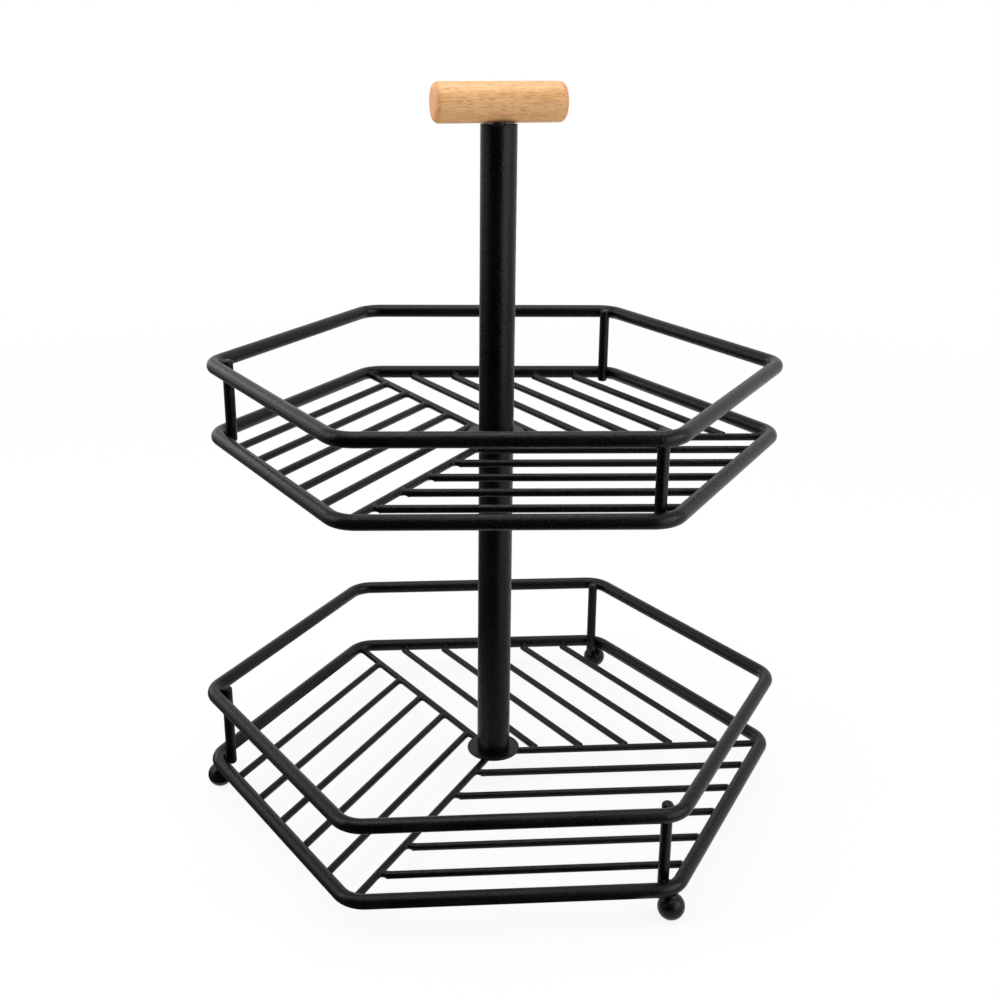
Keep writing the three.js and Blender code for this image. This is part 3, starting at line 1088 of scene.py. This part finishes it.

# %% [markdown]
# ## Screw, inserts and studs
# These hold the pole together and hardly show. Their solids already have the right shape, so they stay and
# get the zinc finish, darkened with painted shade.

# %% Zinc parts
ZINC_NODES = (
    "base_screw",
    "lower_pole_foot_insert",
    "lower_pole_top_insert",
    "upper_pole_top_insert",
    "joining_stud",
    "handle_stud",
)
for node in ZINC_NODES:
    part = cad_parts[node]
    part.data.materials.clear()
    part.data.materials.append(zinc)
print("zinc on", len(ZINC_NODES), "solids")

# %% [markdown]
# ## Studio paper
# The basket stands on a white sweep: a floor that curves up into a back wall, so no horizon shows. For the
# camera, and for reflections, most of its light is plain white, and the rest is real shading, which keeps
# the soft shadow. The plain white grows to the whole with the distance from the basket, so the paper fades
# into the background. From behind the paper is clear, so the basket can be seen from below.

# %% White sweep
SWEEP_FRONT = -4.0
SWEEP_BACK = 1.6
SWEEP_CURVE = 1.0
SWEEP_TOP = 3.5
SWEEP_HALF_WIDTH = 4.5
SWEEP_STEP = 5
WHITE = (1, 1, 1, 1)
PAPER = (0.92, 0.92, 0.92, 1)
PAPER_FIBRE = (0.80, 0.80, 0.80, 1)
FIBRE_PER_M = 40
FIBRE_SHARE = 0.1
GLOW_NEAR = 0.88
GLOW_DISTANCES = (0.35, 1.3)


def seen_directly(recipe):
    """1 for the camera's rays and for rays by way of a reflection or glass, and else 0."""
    rays = recipe.step("ShaderNodeLightPath")
    return rays.highest(rays.other("Is Glossy Ray")).highest(rays.other("Is Transmission Ray"))


def paper():
    material, recipe = new_finish("white_paper")
    where = recipe.step("ShaderNodeTexCoord", out="Object")
    fibre = recipe.noise(where, FIBRE_PER_M, detail=3.0)
    tone = recipe.mixed(fibre * FIBRE_SHARE, PAPER, PAPER_FIBRE)
    matt = recipe.step("ShaderNodeBsdfDiffuse", None, {"Color": tone})
    white = recipe.step("ShaderNodeEmission", None, {"Color": WHITE, "Strength": 1.0})
    away = recipe.step("ShaderNodeVectorMath", {"operation": "LENGTH"}, {"Vector": where}, "Value")
    glow = GLOW_NEAR + recipe.ramp(away, *GLOW_DISTANCES) * (1 - GLOW_NEAR)
    share = seen_directly(recipe) * glow
    mixed = recipe.step("ShaderNodeMixShader", None, {"Fac": share, "Shader": matt, "Shader_001": white})
    behind = recipe.step("ShaderNodeNewGeometry", out="Backfacing")
    clear = recipe.step("ShaderNodeBsdfTransparent")
    one_sided = {"Fac": behind, "Shader": mixed, "Shader_001": clear}
    surface = recipe.step("ShaderNodeMixShader", None, one_sided)
    recipe.step("ShaderNodeOutputMaterial", None, {"Surface": surface})
    return material


def sweep():
    curve = [(SWEEP_FRONT, 0.0), (SWEEP_BACK, 0.0)]
    for degrees in range(SWEEP_STEP, 90 + SWEEP_STEP, SWEEP_STEP):
        angle = math.radians(degrees)
        rise = SWEEP_CURVE * (1 - math.cos(angle))
        curve.append((SWEEP_BACK + SWEEP_CURVE * math.sin(angle), rise))
    curve.append((SWEEP_BACK + SWEEP_CURVE, SWEEP_TOP))
    points = [(x, y, z) for y, z in curve for x in (-SWEEP_HALF_WIDTH, SWEEP_HALF_WIDTH)]
    faces = [(2 * row, 2 * row + 1, 2 * row + 3, 2 * row + 2) for row in range(len(curve) - 1)]
    mesh = bpy.data.meshes.new("studio_sweep")
    mesh.from_pydata(points, [], faces)
    mesh.shade_smooth()
    mesh.materials.append(paper())
    return mesh


floor_sweep = keep_piece("studio_sweep", sweep())

# %% [markdown]
# ## Dark card
# A black satin wire only reads as round if something dark is mirrored in it beside the white paper. So a
# card lies round the front and the left of the basket, just over the floor, and stands up far out behind
# the camera. It is nearly black in front and grey from the left on. Only reflections see it: it hides
# nothing from the camera and throws no shadow.

# %% Dark card for the reflections
CARD_NEAR = 0.12
CARD_FAR = 1.6
CARD_LOW = 0.004
CARD_HIGH = 1.9
CARD_FLOOR_FROM = -150
CARD_WALL_FROM = -66
CARD_TO = 24
CARD_STEP = 6
CARD_DARK = (0.012, 0.012, 0.012, 1)
CARD_GREY = (0.17, 0.17, 0.17, 1)
CARD_FADE = (-0.35, 0.05)


def card_finish():
    material, recipe = new_finish("dark_card")
    where = recipe.step("ShaderNodeTexCoord", out="Object")
    place = recipe.step("ShaderNodeSeparateXYZ", None, {"Vector": where})
    fade = recipe.ramp(place.other("Y"), *CARD_FADE)
    tone = recipe.mixed(fade, CARD_DARK, CARD_GREY)
    matt = recipe.step("ShaderNodeBsdfDiffuse", None, {"Color": tone})
    recipe.step("ShaderNodeOutputMaterial", None, {"Surface": matt})
    return material


def dark_card():
    points = []
    faces = []
    lying = ((CARD_NEAR, CARD_LOW), (CARD_FAR, CARD_LOW))
    standing = ((CARD_FAR, CARD_LOW), (CARD_FAR, CARD_HIGH))
    for first, edges in ((CARD_FLOOR_FROM, lying), (CARD_WALL_FROM, standing)):
        for degrees in range(first, CARD_TO + 1, CARD_STEP):
            angle = math.radians(degrees)
            start = len(points)
            points.extend((out * math.sin(angle), -out * math.cos(angle), z) for out, z in edges)
            if degrees > first:
                faces.append((start - 2, start - 1, start + 1, start))
    mesh = bpy.data.meshes.new("dark_card")
    mesh.from_pydata(points, [], faces)
    mesh.materials.append(card_finish())
    return mesh


card = keep_piece("dark_card", dark_card())
card.visible_camera = False
card.visible_diffuse = False
card.visible_transmission = False
card.visible_shadow = False

# %% [markdown]
# ## Light
# An even white world fills the shadows, and a large soft box overhead with one on each side gives the
# basket its form. Two more boxes are seen only in reflections: a low one in front on the right, which draws
# the streak down the pole, and a strip behind on the left, which lights the wires' upper edges.

# %% World and lamps
WORLD_FILL = 0.42
AIM = Vector((0, 0, 0.18))


def white_world():
    world = bpy.data.worlds.new("studio_world")
    world.use_nodes = True
    world.node_tree.nodes.clear()
    recipe = Recipe(world.node_tree)
    strength = WORLD_FILL + seen_directly(recipe) * (1 - WORLD_FILL)
    light = recipe.step("ShaderNodeBackground", None, {"Color": WHITE, "Strength": strength})
    recipe.step("ShaderNodeOutputWorld", None, {"Surface": light})
    return world


def soft_box(name, place, size, watts, only_mirrored=False):
    lamp = bpy.data.lights.new(name, "AREA")
    lamp.shape = "RECTANGLE"
    lamp.size, lamp.size_y = size
    lamp.energy = watts
    box = bpy.data.objects.new(name, lamp)
    box.location = place
    box.rotation_euler = (AIM - Vector(place)).to_track_quat("-Z", "Y").to_euler()
    box.visible_camera = False
    box.visible_diffuse = not only_mirrored
    scene.collection.objects.link(box)


scene.world = white_world()
soft_box("soft_box_right", place=(1.2, -0.5, 0.72), size=(0.45, 0.8), watts=6.0)
soft_box("soft_box_low", place=(0.46, -0.53, 0.30), size=(0.46, 0.62), watts=1.9, only_mirrored=True)
soft_box("soft_box_back", place=(-1.15, 1.15, 0.72), size=(0.9, 0.34), watts=2.4, only_mirrored=True)
soft_box("soft_box_top", place=(-0.05, 0.05, 1.6), size=(1.4, 1.05), watts=15.0)
soft_box("soft_box_left", place=(-1.25, -0.1, 0.95), size=(0.66, 0.98), watts=7.9)

# %% [markdown]
# ## Camera
# The camera's place was found from the corners of the rings, the pole and the feet: it looks down at about
# 20 degrees from two thirds of a metre away, a little from the left of the tray's front side.

# %% Camera
SENSOR_WIDTH = 36
FOCAL_SHARE = 1.3548
CAMERA_SPOT = Vector((2.28, -647.29, 400.72)) * MM
CAMERA_PITCH = math.radians(20.303)
CAMERA_ROLL = math.radians(0.596)
CAMERA_TURN = math.radians(-4.517)
eye = bpy.data.cameras.new("camera")
eye.sensor_width = SENSOR_WIDTH
eye.lens = SENSOR_WIDTH * FOCAL_SHARE
camera = bpy.data.objects.new("camera", eye)
tilt = Matrix.Rotation(math.pi / 2 - CAMERA_PITCH, 4, "X") @ Matrix.Rotation(CAMERA_ROLL, 4, "Z")
camera.matrix_world = Matrix.Rotation(CAMERA_TURN, 4, "Z") @ Matrix.Translation(CAMERA_SPOT) @ tilt
scene.collection.objects.link(camera)
scene.camera = camera
scene.view_settings.view_transform = "Standard"
print("lens, mm:", round(eye.lens, 2))

# %% [markdown]
# The dressed basket has to keep to the box of its solids.
